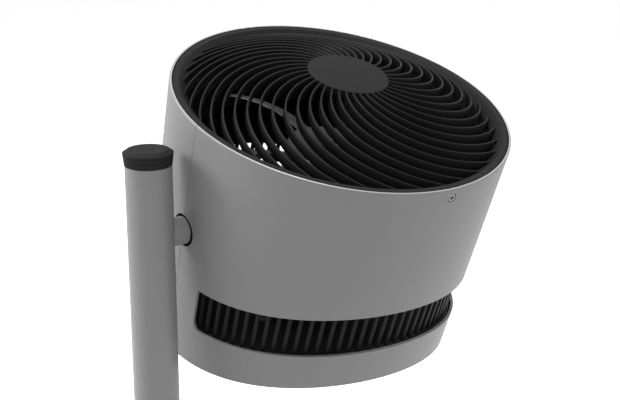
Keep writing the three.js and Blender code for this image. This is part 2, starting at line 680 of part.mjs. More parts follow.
function buildMotor(group) {
  const { low, high } = MOTOR;
  const wall = 2;
  const housing = revolve([
    [9.3, low], [MOTOR_RADIUS, low], [MOTOR_RADIUS, high - 4.3], [MOTOR_RADIUS - wall, high - 4.3],
    [MOTOR_RADIUS - wall, low + wall], [11.3, low + wall], [11.3, low + 8], [9.3, low + 8]]);
  add(group, 'motor_housing', housing, 'dark_steel');
  const endCap = revolve([
    [9.3, high - 12], [11.3, high - 12], [11.3, high - 4], [MOTOR_RADIUS, high - 4], [MOTOR_RADIUS, high],
    [9.3, high],
  ]);
  const pilots = MOTOR_SCREWS.turns.map((turn) => disc(1.7, high - 3.2, high + 5, ROUND.tiny)
    .translate(MOTOR_SCREWS.radius, 0, 0).rotateZ(turn * DEG));
  add(group, 'motor_end_cap', cut(endCap, ...pilots), 'dark_steel');
  add(group, 'stator', ring(24, MOTOR_RADIUS - wall - CLEAR, low + 10, high - 14), 'copper');
  for (const [name, z] of [['lower_bearing', low + 0.5], ['upper_bearing', high - 11]]) {
    add(group, name, ring(SHAFT_RADIUS + RUN_CLEAR, BEARING.radius, z, z + BEARING.length), 'steel');
  }
  for (const [i, turn] of MOTOR_SCREWS.turns.entries()) {
    const screw = panScrew(3.4, 2, 1.5, 8.4).translate(0, 0, high + CLEAR + 4 + 2.2);
    screw.translate(MOTOR_SCREWS.radius, 0, 0).rotateZ(turn * DEG);
    add(group, `motor_screw_${i + 1}`, screw, 'steel');
  }
  add(group, 'rotor', ring(SHAFT_RADIUS + CLEAR, 23, low + 11, high - 15), 'steel');
  add(group, 'motor_shaft', disc(SHAFT_RADIUS, low + 0.6, 72), 'steel');
  add(group, 'impeller', impeller(), 'impeller_grey');
  add(group, 'impeller_nut', hexPrism(13, 62.4, 68, SHAFT_RADIUS + CLEAR), 'steel');
}

// ---- remote control that caps the pole

function buildRemote(group) {
  const foot = PIVOT_HEIGHT + CAP_TOP - CAP_HEIGHT;
  const split = foot + 5;
  const top = foot + CAP_HEIGHT;
  const wall = 1.6;
  const [footRadius, topRadius] = [POLE_RADIUS + 0.3, POLE_RADIUS + 1.7];
  const splitRadius = footRadius + 0.5;
  const lower = revolve([
    [0, foot + 1.8], [11, foot + 1.8], [11, foot], [footRadius, foot], [splitRadius, split - 0.15],
    [splitRadius - wall, split - 0.15], [splitRadius - wall, foot + 3.4], [0, foot + 3.4]], ROUND.medium);
  const upper = revolve([
    [splitRadius - wall, split + 0.15], [splitRadius, split + 0.15], [topRadius, top - 2.4],
    [topRadius - 1.8, top], [6.4, top], [6.4, top - 2.2], [topRadius - 3, top - 2.2],
  ], ROUND.medium);
  add(group, 'remote_lower_shell', lower, 'black_plastic');
  add(group, 'remote_upper_shell', upper, 'black_plastic');
  add(group, 'remote_magnet', disc(10.5, foot + 0.1, foot + 1.5), 'steel');
  add(group, 'coin_cell', disc(10, foot + 3.7, foot + 6.9), 'steel');
  const button = revolve([
    [0, top - 3.9], [9, top - 3.9], [9, top - 2.5], [6.1, top - 2.5], [6.1, top + 0.1],
    [5.5, top + 0.3], [0, top + 0.3]]);
  add(group, 'remote_button', button, 'black_plastic');
}

const base = new THREE.Group();
const pole = new THREE.Group();
const arm = new THREE.Group();
const head = new THREE.Group();
const remote = new THREE.Group();
buildBase(base);
buildPole(pole);
buildArm(arm);
buildHead(head);
buildMotor(head);
buildRemote(remote);
arm.position.set(POLE_X + POLE_OFFSET, 0, PIVOT_HEIGHT);
head.position.copy(arm.position);
head.rotation.x = HEAD_LEAN;
remote.position.set(POLE_X, 0, 0);
fan.add(base, pole, arm, head, remote);

export default fan;
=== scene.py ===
"""Tilting pole fan: a tapered drum head with a spiral outlet grille and a slotted intake, carried on
its side by a round pole on a weighted base.  Shapes are worked out in millimetres and laid into
meshes in metres.  The head's own frame has +Z along the fan axis and its origin on the tilt axis."""
import json
import math

import bmesh
import bpy
import numpy as np
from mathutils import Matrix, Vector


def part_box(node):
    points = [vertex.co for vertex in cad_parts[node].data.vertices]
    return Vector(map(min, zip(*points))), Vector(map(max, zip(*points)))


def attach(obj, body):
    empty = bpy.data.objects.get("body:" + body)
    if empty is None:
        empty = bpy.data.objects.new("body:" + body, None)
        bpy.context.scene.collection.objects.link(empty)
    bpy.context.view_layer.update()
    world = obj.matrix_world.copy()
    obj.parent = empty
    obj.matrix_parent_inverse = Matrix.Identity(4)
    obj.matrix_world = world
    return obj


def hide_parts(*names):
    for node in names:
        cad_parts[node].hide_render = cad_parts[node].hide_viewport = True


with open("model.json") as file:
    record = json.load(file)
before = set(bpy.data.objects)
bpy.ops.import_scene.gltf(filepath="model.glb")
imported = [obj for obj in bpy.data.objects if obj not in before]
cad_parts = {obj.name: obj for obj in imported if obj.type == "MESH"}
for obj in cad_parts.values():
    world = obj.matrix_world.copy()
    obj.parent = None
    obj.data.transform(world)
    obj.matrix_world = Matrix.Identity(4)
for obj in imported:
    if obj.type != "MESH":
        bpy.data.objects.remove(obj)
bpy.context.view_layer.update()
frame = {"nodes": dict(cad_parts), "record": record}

# ---------------------------------------------------------------- camera, light and world

CAMERA_PLACE = (-0.7284, -1.0051, 1.3212)
CAMERA_DOWN = 16.64
CAMERA_HEADING = -37.67
CAMERA_LENS = 75.6
LIGHT_AIM = (0.0, 0.0, 0.9)
WORLD_GREY = 0.985
WORLD_STRENGTH = 1.05

camera = bpy.data.objects.new("camera", bpy.data.cameras.new("camera"))
bpy.context.scene.collection.objects.link(camera)
camera.location = CAMERA_PLACE
camera.rotation_euler = (math.radians(90 - CAMERA_DOWN), 0, math.radians(CAMERA_HEADING))
camera.data.lens = CAMERA_LENS
camera.data.sensor_width = 36
camera.data.clip_end = 200
bpy.context.scene.camera = camera
bpy.context.scene.view_settings.view_transform = "Standard"


def soft_light(name, place, size, power):
    """A square area light at place, turned so that it faces the fan's head."""
    lamp = bpy.data.lights.new(name, "AREA")
    lamp.shape = "SQUARE"
    lamp.size = size
    lamp.energy = power
    holder = bpy.data.objects.new(name, lamp)
    bpy.context.scene.collection.objects.link(holder)
    holder.location = place
    direction = np.array(LIGHT_AIM) - np.array(place)
    heading = math.atan2(-direction[0], direction[1])
    drop = math.atan2(math.hypot(direction[0], direction[1]), -direction[2])
    holder.rotation_euler = (drop, 0, heading)
    holder.visible_camera = False


soft_light("side_window", (-1.9, 2.2, 2.3), 1.3, 160)
soft_light("far_window", (2.2, -1.6, 1.5), 1.2, 22)
soft_light("overhead", (-0.1, -0.2, 3.4), 1.4, 110)

world = bpy.data.worlds.new("studio")
bpy.context.scene.world = world
world.use_nodes = True
background = world.node_tree.nodes["Background"]
background.inputs["Color"].default_value = (WORLD_GREY, WORLD_GREY, WORLD_GREY, 1)
background.inputs["Strength"].default_value = WORLD_STRENGTH

# ---------------------------------------------------------------- finishes


def add_node(tree, kind, inputs=None, **settings):
    """One shader node with its settings; an input is a plain value or another node's socket."""
    made = tree.nodes.new(kind)
    for key, value in settings.items():
        setattr(made, key, value)
    for key, value in (inputs or {}).items():
        if isinstance(value, bpy.types.NodeSocket):
            tree.links.new(value, made.inputs[key])
        else:
            made.inputs[key].default_value = value
    return made


def between(tree, amount, low, high):
    """Map a 0 to 1 amount onto the range low to high."""
    ranged = add_node(tree, "ShaderNodeMapRange", {"Value": amount, "To Min": low, "To Max": high})
    return ranged.outputs["Result"]


def blend_colour(tree, amount, first, second):
    """Mix of two colours by an amount."""
    mix = add_node(tree, "ShaderNodeMix", {"Factor": amount, "A": first, "B": second},
                   data_type="RGBA")
    return mix.outputs["Result"]


def grey(level, tint=(1.0, 1.0, 1.0)):
    """Neutral colour of one level with a slight tint."""
    return (level * tint[0], level * tint[1], level * tint[2], 1.0)


BROAD_SCALE, MIDDLE_SCALE = 9.0, 140.0
WORN_RADIUS, WORN_START, WORN_FULL, WORN_REACH = 0.0006, 0.995, 0.80, 0.5


def finish(name, colour, rough, metal=0.0, grain=900.0, depth=0.00006, stretch=(1, 1, 1),
           cloud=0.06, rough_play=0.1, worn=0.35, gloss=0.5):
    """One finish.  Colour is the base level clouded by a broad noise; roughness wanders by
    rough_play on a middle noise; bump is a fine grain of the given depth in metres, stretched along
    an axis for brushed metal; edges, found where a rounded normal turns away from the face's own,
    are rubbed lighter in patches.  Gloss is the shader's specular level."""
    material = bpy.data.materials.new(name)
    material.use_nodes = True
    tree = material.node_tree
    tree.nodes.clear()
    place = add_node(tree, "ShaderNodeTexCoord").outputs["Object"]
    along = add_node(tree, "ShaderNodeMapping", {"Vector": place, "Scale": stretch}).outputs["Vector"]
    broad = add_node(tree, "ShaderNodeTexNoise", {"Vector": place, "Scale": BROAD_SCALE, "Detail": 4.0})
    middle = add_node(tree, "ShaderNodeTexNoise",
                      {"Vector": along, "Scale": MIDDLE_SCALE, "Detail": 5.0})
    fine = add_node(tree, "ShaderNodeTexNoise", {"Vector": along, "Scale": grain, "Detail": 3.0})
    rounded = add_node(tree, "ShaderNodeBevel", {"Radius": WORN_RADIUS}, samples=4)
    own = add_node(tree, "ShaderNodeNewGeometry").outputs["Normal"]
    turned_away = add_node(tree, "ShaderNodeVectorMath", {0: rounded.outputs["Normal"], 1: own},
                           operation="DOT_PRODUCT").outputs["Value"]
    edge = add_node(tree, "ShaderNodeMapRange", {
        "Value": turned_away, "From Min": WORN_START, "From Max": WORN_FULL,
        "To Min": 0.0, "To Max": 1.0})
    rubbed = add_node(tree, "ShaderNodeMath", {0: edge.outputs["Result"], 1: middle.outputs["Fac"]},
                      operation="MULTIPLY").outputs["Value"]
    dark = tuple(c * (1 - cloud) for c in colour[:3]) + (1.0,)
    light = tuple(min(1.0, c * (1 + cloud)) for c in colour[:3]) + (1.0,)
    bare = tuple(c + (1 - c) * worn * 0.4 for c in colour[:3]) + (1.0,)
    body = blend_colour(tree, broad.outputs["Fac"], dark, light)
    shown = blend_colour(tree, between(tree, rubbed, 0.0, WORN_REACH), body, bare)
    roughness = between(tree, middle.outputs["Fac"], rough - rough_play, rough + rough_play)
    bump = add_node(tree, "ShaderNodeBump", {
        "Height": fine.outputs["Fac"], "Distance": depth, "Strength": 0.6})
    shader = add_node(tree, "ShaderNodeBsdfPrincipled", {
        "Base Color": shown, "Roughness": roughness, "Metallic": metal,
        "Specular IOR Level": gloss, "Normal": bump.outputs["Normal"]})
    output = add_node(tree, "ShaderNodeOutputMaterial")
    tree.links.new(shader.outputs["BSDF"], output.inputs["Surface"])
    return material


FINISHES = {
    "shell_grey": finish("moulded_grey_shell", grey(0.119), 0.45, grain=1500.0, depth=0.00003,
                         cloud=0.03, rough_play=0.05, worn=0.5, gloss=0.14),
    "pole_grey": finish("powder_coated_pole", grey(0.126), 0.45, grain=1100.0, depth=0.00005,
                        cloud=0.03, rough_play=0.05, worn=0.5, gloss=0.14),
    "grille_black": finish("satin_black_grille", grey(0.0095), 0.45, grain=1400.0, depth=0.00003,
                           cloud=0.1, worn=0.12, gloss=0.03),
    "black_plastic": finish("spark_textured_black", grey(0.007), 0.6, grain=1000.0, depth=0.00006,
                            cloud=0.08, worn=0.06, gloss=0.02),
    "impeller_grey": finish("impeller_grey_nylon", grey(0.045), 0.35, grain=1300.0, depth=0.00003,
                            cloud=0.06, worn=0.3),
    "steel": finish("zinc_plated_steel", grey(0.5, (1.0, 0.99, 0.95)), 0.3, 1.0, grain=500.0,
                    depth=0.00003, stretch=(1, 6, 1), cloud=0.12, worn=0.4),
    "dark_steel": finish("black_coated_steel", grey(0.035), 0.45, 0.4, grain=800.0, depth=0.00005,
                         cloud=0.15, worn=0.5),
    "cast_iron": finish("raw_cast_iron", grey(0.07), 0.75, 0.5, grain=350.0, depth=0.0003,
                        cloud=0.2, worn=0.3),
    "rubber": finish("matt_black_rubber", grey(0.005), 0.8, grain=1200.0, depth=0.00008,
                     cloud=0.15, worn=0.1, gloss=0.05),
    "copper": finish("enamelled_winding", (0.45, 0.17, 0.06, 1.0), 0.35, 0.9, grain=700.0,
                     depth=0.0002, stretch=(1, 1, 8), cloud=0.15),
    "board_green": finish("solder_masked_board", (0.01, 0.09, 0.035, 1.0), 0.4, grain=260.0,
                          depth=0.00008, cloud=0.3),
}
# The shell's lip gets a lighter grey than the shell: a painted highlight along the rim's top.
lip_painted_highlight = finish("rubbed_shell_lip", grey(0.165), 0.3, grain=1500.0, depth=0.00002, cloud=0.04,
                    rough_play=0.05, worn=0.6)
remote_finish = finish("remote_soft_black", grey(0.013), 0.6, grain=1000.0, depth=0.00006,
                       cloud=0.06, worn=0.06, gloss=0.01)
hub_finish = finish("hub_disc_black", grey(0.0085), 0.65, grain=1100.0, depth=0.00005, cloud=0.05,
                    worn=0.06, gloss=0.05)
screw_finish = finish("painted_screw", grey(0.14), 0.4, grain=900.0, depth=0.00003, cloud=0.05,
                      worn=0.6)
floor_finish = finish("pale_floor", grey(0.93), 0.7, grain=60.0, depth=0.0002, cloud=0.01, worn=0.0)

BLACKENED = {"board_bracket", "tilt_bracket", "bracket_screw_1", "bracket_screw_2"}
for part in frame["record"]["subparts"]:
    solid = frame["nodes"][part["node"]]
    look = "dark_steel" if part["node"] in BLACKENED else part["material_slot"]
    solid.data.materials.clear()
    solid.data.materials.append(FINISHES[look])

# ---------------------------------------------------------------- laying surfaces into meshes

MM = 0.001


def skin(points, around=False, along=False, capped=False):
    """Quads over k separate grids of n by m points, given as a (k, n, m, 3) array, or over one grid.
    A direction can close on itself: along is n, around is m.  Capped grids close in m and get their
    first and last rows zipped shut."""
    points = points[None] if points.ndim == 3 else points
    k, n, m = points.shape[:3]
    index = np.arange(k * n * m).reshape(k, n, m)
    here, ahead = (index, np.roll(index, -1, 1)) if along else (index[:, :-1], index[:, 1:])
    if around or capped:
        beside, both = np.roll(here, -1, 2), np.roll(ahead, -1, 2)
    else:
        beside, both = here[:, :, 1:], ahead[:, :, 1:]
        here, ahead = here[:, :, :-1], ahead[:, :, :-1]
    quads = [np.stack([here, ahead, both, beside], -1).reshape(-1, 4)]
    if capped:
        half = m // 2
        for row in (0, n - 1):
            one, other = index[:, row, :half], index[:, row, half:][:, ::-1]
            zipped = np.stack([one[:, :-1], one[:, 1:], other[:, 1:], other[:, :-1]], -1)
            quads.append(zipped.reshape(-1, 4))
    return points.reshape(-1, 3), np.concatenate(quads)


def walled(outer, inner, keep, around=False):
    """One closed wall between an outer and an inner grid of (n, m, 3) points.  Cells that keep
    leaves out are windows; every free edge is joined straight through to the other grid."""
    n, m = outer.shape[:2]
    total = n * m
    index = np.arange(total).reshape(n, m)
    if around:
        index = np.concatenate([index, index[:1]])
    cells = np.stack([index[:-1, :-1], index[1:, :-1], index[1:, 1:], index[:-1, 1:]], -1)[keep]
    edges = np.concatenate([cells[:, [i, (i + 1) % 4]] for i in range(4)])
    forward, backward = edges[:, 0] * total + edges[:, 1], edges[:, 1] * total + edges[:, 0]
    free = edges[~np.isin(forward, backward)]
    sides = np.stack([free[:, 1], free[:, 0], free[:, 0] + total, free[:, 1] + total], -1)
    quads = np.concatenate([cells, cells[:, ::-1] + total, sides])
    return np.concatenate([outer.reshape(-1, 3), inner.reshape(-1, 3)]), quads


def fillet(corners, steps=6):
    """Profile of [across, along] points from [across, along, rounding] corners: a circle's arc of
    the rounding's radius, which touches both neighbouring sides, takes the corner's place."""
    corners, radii = np.split(np.asarray(corners, float), [2], axis=1)
    laid = []
    for i, (corner, radius) in enumerate(zip(corners, radii[:, 0])):
        if radius <= 0 or i in (0, len(corners) - 1):
            laid.append(corner[None])
            continue
        back, on = corners[i - 1] - corner, corners[i + 1] - corner
        back, on = back / np.linalg.norm(back), on / np.linalg.norm(on)
        half = np.arccos(np.clip(back @ on, -1, 1)) / 2
        middle = corner + (back + on) / np.linalg.norm(back + on) * radius / np.sin(half)
        start, end = corner + back * radius / np.tan(half), corner + on * radius / np.tan(half)
        first = np.arctan2(*(start - middle)[::-1])
        sweep = (np.arctan2(*(end - middle)[::-1]) - first + np.pi) % (2 * np.pi) - np.pi
        turn = first + sweep * np.linspace(0, 1, steps + 1)
        laid.append(middle + radius * np.stack([np.cos(turn), np.sin(turn)], -1))
    return np.concatenate(laid)


def turned(profile, sides, closed=False):
    """Surface of revolution about Z: the [radius, height] profile carried round a full turn.  A
    closed profile is a ring's section."""
    angle = np.arange(sides) * 2 * np.pi / sides
    rim = profile[None, :, :1] * np.stack([np.cos(angle), np.sin(angle)], -1)[:, None]
    points = np.concatenate([rim, np.broadcast_to(profile[:, 1:], (sides, len(profile), 1))], -1)
    return skin(points, around=closed, along=True)


def disc(corners, sides):
    """Solid of revolution whose rounded profile starts and ends on the axis."""
    return turned(fillet(corners), sides)


def ring(corners, sides):
    """Ring about Z whose rounded section starts and ends at one point of a side."""
    return turned(fillet(corners)[:-1], sides, closed=True)


def moved(surface, shift):
    """The same surface moved by shift."""
    return surface[0] + np.asarray(shift, float), surface[1]


def along_x(surface):
    """A surface made along +Z laid along +X: height becomes x."""
    x, y, z = surface[0].T
    return np.stack([z, y, -x], -1), surface[1]


def along_y(surface, side):
    """A surface made along +Z laid along +Y or -Y."""
    x, y, z = surface[0].T
    return np.stack([x * side, z * side, -y], -1), surface[1]


joints = {joint["name"]: joint for joint in frame["record"]["behaviour"]["joints"]}
spin_axis = joints["impeller_spin"]["axis"]
LEAN = math.atan2(-spin_axis[1], spin_axis[2])
PIVOT = np.round(np.array(joints["head_tilt"]["pos_m"]) / MM, 1)


def in_head(surface):
    """Head frame to the fan's frame: lean about X, then move to the pivot."""
    x, y, z = surface[0].T
    c, s = math.cos(LEAN), math.sin(LEAN)
    return np.stack([x, y * c - z * s, y * s + z * c], -1) + PIVOT, surface[1]


MERGE_WITHIN = 2e-6
SHARP_FROM = math.radians(32)


def build(name, body, slot, surfaces, stands_for, looks=None, kinds=0, bevel=0.0):
    """One piece from its surfaces: points and faces are put into a mesh, doubled points are
    merged, normals are turned outwards, and it rides on its body.  Kinds says which of the looks
    each face takes."""
    starts = np.cumsum([0] + [len(points) for points, _ in surfaces[:-1]])
    points = np.concatenate([points for points, _ in surfaces]) * MM
    faces = np.concatenate([quads + start for (_, quads), start in zip(surfaces, starts)])
    mesh = bpy.data.meshes.new(name)
    mesh.from_pydata(points, [], faces.tolist())
    for look in looks or [FINISHES[slot]]:
        mesh.materials.append(look)
    mesh.polygons.foreach_set("material_index", np.broadcast_to(kinds, len(faces)).astype(np.int32))
    work = bmesh.new()
    work.from_mesh(mesh)
    bmesh.ops.remove_doubles(work, verts=work.verts, dist=MERGE_WITHIN)
    bmesh.ops.recalc_face_normals(work, faces=work.faces)
    work.to_mesh(mesh)
    work.free()
    mesh.shade_smooth()
    mesh.set_sharp_from_angle(angle=SHARP_FROM)
    piece = bpy.data.objects.new(name, mesh)
    bpy.context.scene.collection.objects.link(piece)
    if bevel:
        rounding = piece.modifiers.new("rounded_edges", "BEVEL")
        rounding.width = bevel * MM
        rounding.segments = 3
        rounding.limit_method = "ANGLE"
        rounding.angle_limit = SHARP_FROM
        rounding.harden_normals = True
    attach(piece, body)
    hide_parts(stands_for)


# ---------------------------------------------------------------- drum shells

RIM_RADIUS, RIM_Z, WALL = 170.0, 115.0, 3.0
TAPER = math.tan(math.radians(2.5))
SLOT_TOP, SLOT_BOTTOM, DRUM_BOTTOM = (-52.0, 28.0), (-99.0, 31.0), (-141.0, 34.0)
SLOT_END = math.radians(11.2)
SLOT_CORNER = 11.0
SEAM_GAP = 0.5
SCREW_DROP, SCREW_SEAT = 10.5, 4.6
ARM_HOLE = 16.2
# The third number on the next line counts the lip's rows that are painted lighter as a highlight.
LIP, LIP_DROP, LIP_HIGHLIGHT_ROWS = 1.5, 0.3, 3
LIP_STEPS = np.linspace(0, np.pi / 2, 6)[1:]
LOWER_ROWS, SLOT_ROWS = 6, 3
CALM_LEVEL = 80.0


def drum_radius(z):
    """The drum narrows evenly downwards."""
    return RIM_RADIUS - TAPER * (RIM_Z - z)


def edge_height(edge, theta):
    """Height at the pivot side plus a rise with the square of the sine round to the front."""
    return edge[0] + edge[1] * np.sin(theta) ** 2


def round_out(a, b):
    """A square of half-side 1 drawn out to a circle: inside the square each point is moved along
    its own direction to the circle of its square distance; between 1 and 2 the shift dies away."""
    square = np.maximum(np.abs(a), np.abs(b))
    spread = np.maximum(np.hypot(a, b), 1e-9)
    share = np.clip(2 - square, 0, 1)
    scale = 1 + share * (square / spread - 1)
    return a * scale, b * scale


def cell_middle(grid):
    """Mean of two opposite corners of every cell."""
    return (grid[:-1, :-1] + grid[1:, 1:]) / 2


def drum_half(side):
    """Half of the drum, as a wall over theta, 0 to pi from the far side to the arm, and a height
    parameter.  Rows run from the wavy lower edge, over the slot's two edges, to the level rim,
    where the outer and the inner grid meet in a half-round lip.  The slot is a window, the screw's
    seat and half of the arm's hole are squares drawn out to circles.  Kinds are 0 outside, 1 on
    the inside and on the wall of the arm's hole, which is painted black as the shade in the gap
    round the arm, and 2 on the lip, painted lighter as a highlight."""
    seam, seat, notch = SEAM_GAP / 2 / RIM_RADIUS, SCREW_SEAT / RIM_RADIUS, ARM_HOLE / drum_radius(0)
    corner = SLOT_CORNER / drum_radius(SLOT_TOP[0])
    turn_in = SLOT_END + corner * (1 - np.cos(np.linspace(0, np.pi / 2, 6)))
    arm_rows = np.sin(np.linspace(-np.pi / 2, np.pi / 2, 13))
    seat_rows = np.array([-2, -1.5, -1, -0.71, -0.38, 0, 0.38, 0.71, 1, 1.5])
    from_far = np.concatenate([np.linspace(seam, SLOT_END, 6)[:-1], turn_in])
    from_arm = np.concatenate([[seam], notch * arm_rows[7:], notch * np.array([1.5, 2.0]), turn_in])
    sweep = np.linspace(turn_in[-1], np.pi / 2 - 3 * seat, 24)[1:-1]
    round_seat = np.pi / 2 + seat * np.concatenate([[-3], seat_rows, [2, 3]])
    theta = np.concatenate([from_far, sweep, round_seat, np.pi - sweep[::-1], np.pi - from_arm[::-1]])
    level = np.concatenate([
        [SLOT_TOP[0], -40, -30, -22], ARM_HOLE * arm_rows, [22, 30, 45, 60, 75, 86],
        RIM_Z - SCREW_DROP + SCREW_SEAT * seat_rows, [RIM_Z - LIP - LIP_DROP]])
    theta_grid, level_grid = np.meshgrid(theta, level, indexing="ij")
    seat_a, seat_b = (theta_grid - np.pi / 2) / seat, (level_grid - RIM_Z + SCREW_DROP) / SCREW_SEAT
    arm_a, arm_b = (np.pi - theta_grid) / notch, level_grid / ARM_HOLE
    open_seat = np.maximum(abs(cell_middle(seat_a)), abs(cell_middle(seat_b))) < 1
    open_arm = np.maximum(abs(cell_middle(arm_a)), abs(cell_middle(arm_b))) < 1
    seat_shift = [drawn - plain for drawn, plain in zip(round_out(seat_a, seat_b), (seat_a, seat_b))]
    arm_shift = [drawn - plain for drawn, plain in zip(round_out(arm_a, arm_b), (arm_a, arm_b))]
    upper_theta = theta_grid + seat * seat_shift[0] - notch * arm_shift[0]
    upper_level = level_grid + SCREW_SEAT * seat_shift[1] + ARM_HOLE * arm_shift[1]
    rise = SLOT_TOP[1] * np.clip((CALM_LEVEL - upper_level) / (CALM_LEVEL - SLOT_TOP[0]), 0, 1)
    upper_z = upper_level + rise * np.sin(upper_theta) ** 2

    run = np.maximum(0, np.minimum(theta, np.pi - theta) - SLOT_END) * drum_radius(SLOT_TOP[0])
    short = np.maximum(0, SLOT_CORNER - run)
    lift = SLOT_CORNER - np.sqrt(SLOT_CORNER ** 2 - short ** 2)
    foot, sill = edge_height(DRUM_BOTTOM, theta), edge_height(SLOT_BOTTOM, theta) + lift
    lower_z = foot[:, None] + (sill - foot)[:, None] * np.linspace(0, 1, LOWER_ROWS)
    slot_share = np.arange(1, SLOT_ROWS + 1) / (SLOT_ROWS + 1)
    slot_z = sill[:, None] + (upper_z[:, 0] - sill)[:, None] * slot_share
    z = np.concatenate([lower_z, slot_z, upper_z], 1)
    plain_rows = LOWER_ROWS + SLOT_ROWS
    angle = np.concatenate([np.repeat(theta[:, None], plain_rows, 1), upper_theta], 1)

    outer_r, inner_r = drum_radius(z), drum_radius(z) - WALL
    crest = outer_r[:, -1:] - LIP
    lip_z = z[:, -1:] + LIP * np.sin(LIP_STEPS)
    outer_r = np.concatenate([outer_r, crest + LIP * np.cos(LIP_STEPS)], 1)
    inner_r = np.concatenate([inner_r, crest - LIP * np.cos(LIP_STEPS)], 1)
    z = np.concatenate([z, lip_z], 1)
    angle = np.concatenate([angle, np.repeat(theta[:, None], len(LIP_STEPS), 1)], 1)
    outer, inner = [np.stack([r * np.cos(angle), side * r * np.sin(angle), z], -1)
                    for r in (outer_r, inner_r)]

    keep = np.ones((len(theta) - 1, z.shape[1] - 1), bool)
    between_ends = (theta[:-1] > SLOT_END - 1e-6) & (theta[1:] < np.pi - SLOT_END + 1e-6)
    keep[between_ends, LOWER_ROWS - 1:plain_rows] = False
    keep[:, plain_rows:plain_rows + len(level) - 1] &= ~(open_seat | open_arm)
    points, faces = walled(outer, inner, keep)
    rows, count = z.shape[1], z.size
    # Faces on the lip's last rows take the painted highlight.
    on_lip = (faces % count % rows >= rows - LIP_HIGHLIGHT_ROWS).all(1)
    # Faces round the arm's hole are painted black: painted shade in the gap round the arm.
    at_arm = (np.hypot(points[:, 1], points[:, 2]) < ARM_HOLE + 0.05) & (points[:, 0] < 0)
    dark = (faces >= count).all(1) | at_arm[faces].all(1)
    return (points, faces), np.where(on_lip, 2, dark)


# Looks by kind: shell grey; black, which on the arm's hole wall is painted shade; the lip's painted
# highlight.
DRUM_LOOKS = [FINISHES["shell_grey"], FINISHES["black_plastic"], lip_painted_highlight]
for side, face in ((-1, "front"), (1, "rear")):
    shell, kinds = drum_half(side)
    build(face + "_drum_shell", "head", "shell_grey", [in_head(shell)], face + "_shell",
          looks=DRUM_LOOKS, kinds=kinds, bevel=0.4)

# ---------------------------------------------------------------- outlet grille

FIN_COUNT, FIN_DEPTH, FIN_THICK, FIN_EDGE = 38, 10.5, 1.8, 0.8
FIN_SWEEP, FIN_PHASE = math.radians(72), math.radians(2.1)
DOME_EDGE_Z, DOME_HEIGHT, DOME_RADIUS, HUB_RADIUS = 110.0, 37.0, 160.0, 40.5


def dome_height(r):
    """The fins' tops lie on a shallow parabolic dome."""
    return DOME_EDGE_Z + DOME_HEIGHT * (1 - (r / DOME_RADIUS) ** 2)


def bar_section(width, depth, radius, steps=3):
    """Loop of a rounded bar's section, centred, as across and up offsets, in one turn."""
    turn = np.linspace(0, np.pi / 2, steps + 1)
    arc = np.stack([np.cos(turn), np.sin(turn)], -1) * radius
    w, d = width / 2 - radius, depth / 2 - radius
    quarter = [np.stack([c * arc[:, 0] - s * arc[:, 1], s * arc[:, 0] + c * arc[:, 1]], -1) + (x, y)
               for c, s, x, y in ((1, 0, w, d), (0, 1, -w, d), (-1, 0, -w, -d), (0, -1, w, -d))]
    return np.concatenate(quarter)


def spiral_fins():
    """Every fin is a rounded upright bar carried along a spiral: its angle grows with 0.52 t and
    0.48 t to the power 2.2, where t runs from 0 at the hub to 1 at the rim, while its top follows
    the dome."""
    r = np.linspace(HUB_RADIUS - 1.5, DOME_RADIUS + 1, 44)
    t = np.clip((r - HUB_RADIUS) / (DOME_RADIUS - HUB_RADIUS), 0, None)
    swept = FIN_SWEEP * (0.52 * t + 0.48 * t ** 2.2)
    growth = FIN_SWEEP * (0.52 + 0.48 * 2.2 * t ** 1.2) / (DOME_RADIUS - HUB_RADIUS)
    angle = FIN_PHASE + swept + 2 * np.pi * np.arange(FIN_COUNT)[:, None] / FIN_COUNT
    heading = angle + np.arctan(r * growth)
    section = bar_section(FIN_THICK, FIN_DEPTH, FIN_EDGE)
    across, up = section[:, 0], section[:, 1]
    x = (r * np.cos(angle))[..., None] - np.sin(heading)[..., None] * across
    y = (r * np.sin(angle))[..., None] + np.cos(heading)[..., None] * across
    z = np.broadcast_to((dome_height(r) - FIN_DEPTH / 2)[None, :, None] + up, x.shape)
    return skin(np.stack([x, y, z], -1), capped=True)


HUB_TOP = float(dome_height(HUB_RADIUS))
HUB_SIDES = 152
DISC_RADIUS = HUB_RADIUS - 0.4
grille_ring = ring([
    (166.6, 108, 0), (166.6, 114.2, 0.6), (161, 114.2, 1.5), (152.5, 106.5, 2), (149.5, 93, 0.8),
    (164, 93, 0.8), (166.6, 108, 0)], 190)
grille_hub = disc([
    (0, HUB_TOP - 6, 0), (36, HUB_TOP - 15, 3), (HUB_RADIUS, HUB_TOP - 15, 0.8),
    (HUB_RADIUS, HUB_TOP - 2.6, 0.8), (0, HUB_TOP - 2.6, 0)], HUB_SIDES)
build("spiral_grille", "head", "grille_black",
      [in_head(part) for part in (spiral_fins(), grille_ring, grille_hub)], "outlet_grille")

hub_disc = disc([
    (0, HUB_TOP - 2.1, 0), (DISC_RADIUS, HUB_TOP - 2.1, 0.4), (DISC_RADIUS, HUB_TOP + 0.4, 0.9),
    (0, HUB_TOP + 0.9, 0)], HUB_SIDES)
build("hub_disc", "head", "black_plastic", [in_head(hub_disc)], "hub_cap", looks=[hub_finish])

# ---------------------------------------------------------------- intake grilles

BAR_COUNT, BAR_WIDTH, BAR_DEPTH, BAR_EDGE = 42, 4.0, 3.0, 0.7
RAIL_DEPTH, RAIL_HEIGHT, RAIL_EDGE = 6.4, 4.0, 0.6
INTAKE_RECESS, INTAKE_OVERLAP = 6.0, 0.02


